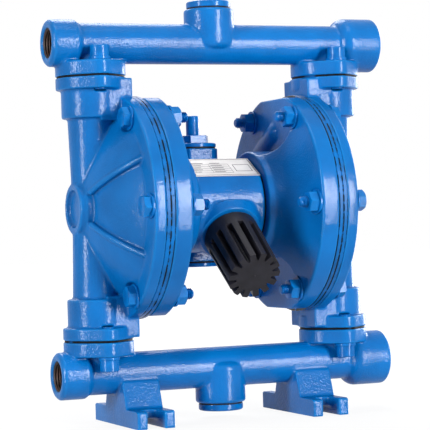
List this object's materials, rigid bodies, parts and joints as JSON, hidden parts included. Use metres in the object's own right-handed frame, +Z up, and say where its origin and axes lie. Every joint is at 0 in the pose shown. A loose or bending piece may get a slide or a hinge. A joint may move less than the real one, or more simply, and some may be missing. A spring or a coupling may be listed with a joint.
{
  "type": "air operated diaphragm pump",
  "caption": "Air operated diaphragm pump with cast iron chambers between an inlet and an outlet manifold, ball check valves, an air valve and a muffler.",
  "frame": {"origin": "on the floor, midway between the four foot slots and below the middle of the centre body", "axes": "+X along the manifolds from their open ends to their plugged ends, -Y to the front with the muffler and label, +Z up"},
  "size_m": [0.2505, 0.1574, 0.2965],
  "materials": {
    "bare_steel": "turned stainless steel",
    "black_plastic": "moulded black plastic, slightly dusty sheen",
    "black_rubber": "moulded black rubber",
    "bronze": "sintered bronze",
    "gasket_black": "thin black gasket sheet",
    "label_metal": "satin aluminium plate, bare of text",
    "painted_iron": "glossy blue enamel sprayed over sand-cast iron, fine orange peel",
    "painted_rubber": "rubber layers whose edge is over-sprayed with the blue enamel",
    "painted_steel": "zinc-plated steel fastener under the same glossy blue enamel",
    "porous_element": "porous grey-white filter tube",
    "white_polymer": "turned white fluoropolymer"
  },
  "bodies": {
    "housing": {"body_gaskets": "gasket_black", "bottom_centre_plug": "painted_steel", "bottom_end_plug": "painted_steel", "bottom_flange_gaskets": "gasket_black", "bottom_manifold": "painted_iron", "bottom_manifold_screws": "painted_steel", "bottom_screw_washers": "painted_steel", "centre_body": "painted_iron", "centre_plug_washers": "black_rubber", "hub_screws": "bare_steel", "label_plate": "label_metal", "left_air_chamber": "painted_iron", "left_backup_diaphragm": "painted_rubber", "left_bolt_washers": "painted_steel", "left_chamber_bolts": "painted_steel", "left_chamber_nuts": "painted_steel", "left_diaphragm": "painted_rubber", "left_fluid_chamber": "painted_iron", "left_inlet_cage": "white_polymer", "left_inlet_seat": "white_polymer", "left_outlet_cage": "white_polymer", "left_outlet_seat": "white_polymer", "muffler_element": "porous_element", "muffler_housing": "black_plastic", "right_air_chamber": "painted_iron", "right_backup_diaphragm": "painted_rubber", "right_bolt_washers": "painted_steel", "right_chamber_bolts": "painted_steel", "right_chamber_nuts": "painted_steel", "right_diaphragm": "painted_rubber", "right_fluid_chamber": "painted_iron", "right_inlet_cage": "white_polymer", "right_inlet_seat": "white_polymer", "right_outlet_cage": "white_polymer", "right_outlet_seat": "white_polymer", "shaft_bushes": "bronze", "shaft_seals": "black_rubber", "top_centre_plug": "painted_steel", "top_end_plug": "painted_steel", "top_flange_gaskets": "gasket_black", "top_manifold": "painted_iron", "top_manifold_screws": "painted_steel", "top_screw_washers": "painted_steel", "valve_bottom_cap": "painted_steel", "valve_cap_seals": "black_rubber", "valve_sleeve": "bare_steel", "valve_top_cap": "painted_steel"},
    "shaft_assembly": {"main_shaft": "bare_steel", "shaft_nuts": "bare_steel", "left_outer_plate": "bare_steel", "right_outer_plate": "bare_steel", "left_inner_plate": "bare_steel", "right_inner_plate": "bare_steel"},
    "spool_assembly": {"valve_spool": "bare_steel", "shift_stem": "painted_steel"},
    "left_outlet_ball_body": {"left_outlet_ball": "white_polymer"},
    "left_inlet_ball_body": {"left_inlet_ball": "white_polymer"},
    "right_outlet_ball_body": {"right_outlet_ball": "white_polymer"},
    "right_inlet_ball_body": {"right_inlet_ball": "white_polymer"}
  },
  "joints": [
    {"name": "shaft_slide", "type": "slide", "parent": "housing", "child": "shaft_assembly", "axis": [1, 0, 0], "range_m": [-0.008, 0.008], "deforming": ["left_diaphragm", "left_backup_diaphragm", "right_diaphragm", "right_backup_diaphragm"]},
    {"name": "spool_slide", "type": "slide", "parent": "housing", "child": "spool_assembly", "axis": [0, 0, 1], "range_m": [0, 0.008]},
    {"name": "left_outlet_ball_lift", "type": "slide", "parent": "housing", "child": "left_outlet_ball_body", "axis": [0, 0, 1], "range_m": [0, 0.0066]},
    {"name": "left_inlet_ball_lift", "type": "slide", "parent": "housing", "child": "left_inlet_ball_body", "axis": [0, 0, 1], "range_m": [0, 0.0066]},
    {"name": "right_outlet_ball_lift", "type": "slide", "parent": "housing", "child": "right_outlet_ball_body", "axis": [0, 0, 1], "range_m": [0, 0.0066]},
    {"name": "right_inlet_ball_lift", "type": "slide", "parent": "housing", "child": "right_inlet_ball_body", "axis": [0, 0, 1], "range_m": [0, 0.0066]}
  ]
}
